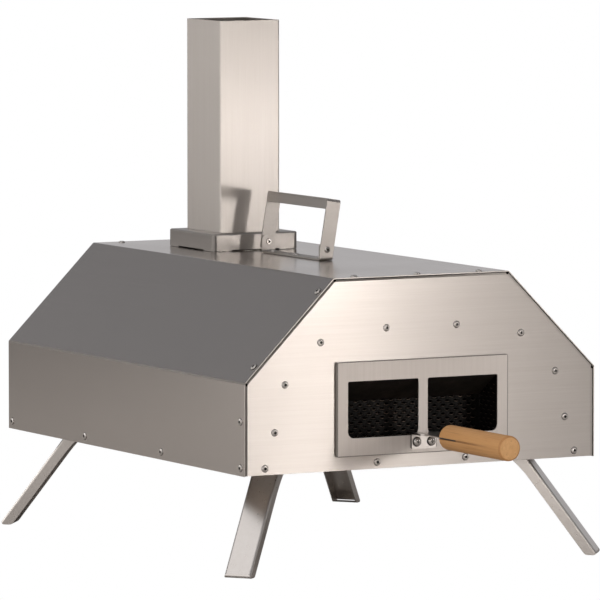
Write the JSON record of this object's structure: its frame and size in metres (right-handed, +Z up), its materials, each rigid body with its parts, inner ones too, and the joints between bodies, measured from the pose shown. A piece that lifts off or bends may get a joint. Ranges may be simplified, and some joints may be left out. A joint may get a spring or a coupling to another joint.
{
  "type": "wood fired pizza oven",
  "caption": "Portable wood fired pizza oven: bent sheet body on folding legs, slide-out fuel basket behind a hatch with air windows, stone, lift-off door and chimney, carrying bail.",
  "frame": {"origin": "on the ground under the middle of the object", "axes": "+Z up, -Y towards the fuel hatch, +Y towards the pizza mouth, +X to the right seen from the fuel hatch"},
  "size_m": [0.4308, 0.876, 0.531],
  "materials": {
    "brushed_stainless": "satin, brushed grain",
    "bright_stainless": "smooth",
    "sooty_steel": "matt, heat-darkened",
    "beech": "plain, unvarnished",
    "cordierite": "matt, fine grain"
  },
  "bodies": {
    "body": {"outer_shell": "brushed_stainless", "burner_end_panel": "brushed_stainless", "mouth_end_panel": "brushed_stainless", "base_pan": "brushed_stainless", "chimney_collar": "brushed_stainless", "bail_bracket": "brushed_stainless", "leg_bracket_front_left": "brushed_stainless", "leg_bracket_front_right": "brushed_stainless", "leg_bracket_rear_left": "brushed_stainless", "leg_bracket_rear_right": "brushed_stainless", "bail_pivot_front": "bright_stainless", "bail_pivot_rear": "bright_stainless", "leg_pin_front_left": "bright_stainless", "leg_pin_front_right": "bright_stainless", "leg_pin_rear_left": "bright_stainless", "leg_pin_rear_right": "bright_stainless", "burner_rivet_01": "bright_stainless", "burner_rivet_02": "bright_stainless", "burner_rivet_03": "bright_stainless", "burner_rivet_04": "bright_stainless", "burner_rivet_05": "bright_stainless", "burner_rivet_06": "bright_stainless", "burner_rivet_07": "bright_stainless", "burner_rivet_08": "bright_stainless", "burner_rivet_09": "bright_stainless", "burner_rivet_10": "bright_stainless", "burner_rivet_11": "bright_stainless", "burner_rivet_12": "bright_stainless", "oven_liner": "sooty_steel", "stone_rail_left": "sooty_steel", "stone_rail_right": "sooty_steel", "flue_spigot": "sooty_steel", "basket_rail_left": "sooty_steel", "basket_rail_right": "sooty_steel", "pizza_stone": "cordierite"},
    "chimney": {"chimney_tube": "brushed_stainless"},
    "bail": {"bail_handle": "bright_stainless"},
    "fuel_hatch": {"hatch_plate": "brushed_stainless", "hatch_baffle": "sooty_steel", "fuel_basket": "sooty_steel", "hatch_bracket": "bright_stainless", "hatch_grip": "beech", "hatch_screw_left": "bright_stainless", "hatch_screw_right": "bright_stainless"},
    "mouth_door": {"door_plate": "brushed_stainless", "door_bracket": "bright_stainless", "door_grip": "beech", "door_screw_left": "bright_stainless", "door_screw_right": "bright_stainless"},
    "leg_front_left": {"leg_front_left": "brushed_stainless"},
    "leg_front_right": {"leg_front_right": "brushed_stainless"},
    "leg_rear_left": {"leg_rear_left": "brushed_stainless"},
    "leg_rear_right": {"leg_rear_right": "brushed_stainless"}
  },
  "joints": [
    {"name": "chimney_lift", "type": "slide", "parent": "body", "child": "chimney", "axis": [0, 0, 1], "range_m": [0, 0.06]},
    {"name": "bail_swing", "type": "hinge", "parent": "body", "child": "bail", "pos_m": [0, -0.003, 0.3033], "axis": [0, 1, 0], "range_deg": [-98, 79]},
    {"name": "fuel_hatch_pull", "type": "slide", "parent": "body", "child": "fuel_hatch", "axis": [0, -1, 0], "range_m": [0, 0.165]},
    {"name": "mouth_door_pull", "type": "slide", "parent": "body", "child": "mouth_door", "axis": [0, 1, 0], "range_m": [0, 0.12]},
    {"name": "leg_front_left_fold", "type": "hinge", "parent": "body", "child": "leg_front_left", "pos_m": [-0.1373, -0.2047, 0.109], "axis": [0.6334, -0.7738, 0], "range_deg": [0, 126]},
    {"name": "leg_front_right_fold", "type": "hinge", "parent": "body", "child": "leg_front_right", "pos_m": [0.1373, -0.2047, 0.109], "axis": [0.6334, 0.7738, 0], "range_deg": [0, 126]},
    {"name": "leg_rear_left_fold", "type": "hinge", "parent": "body", "child": "leg_rear_left", "pos_m": [-0.1373, 0.2047, 0.109], "axis": [-0.6334, -0.7738, 0], "range_deg": [0, 126]},
    {"name": "leg_rear_right_fold", "type": "hinge", "parent": "body", "child": "leg_rear_right", "pos_m": [0.1373, 0.2047, 0.109], "axis": [-0.6334, 0.7738, 0], "range_deg": [0, 126]}
  ]
}
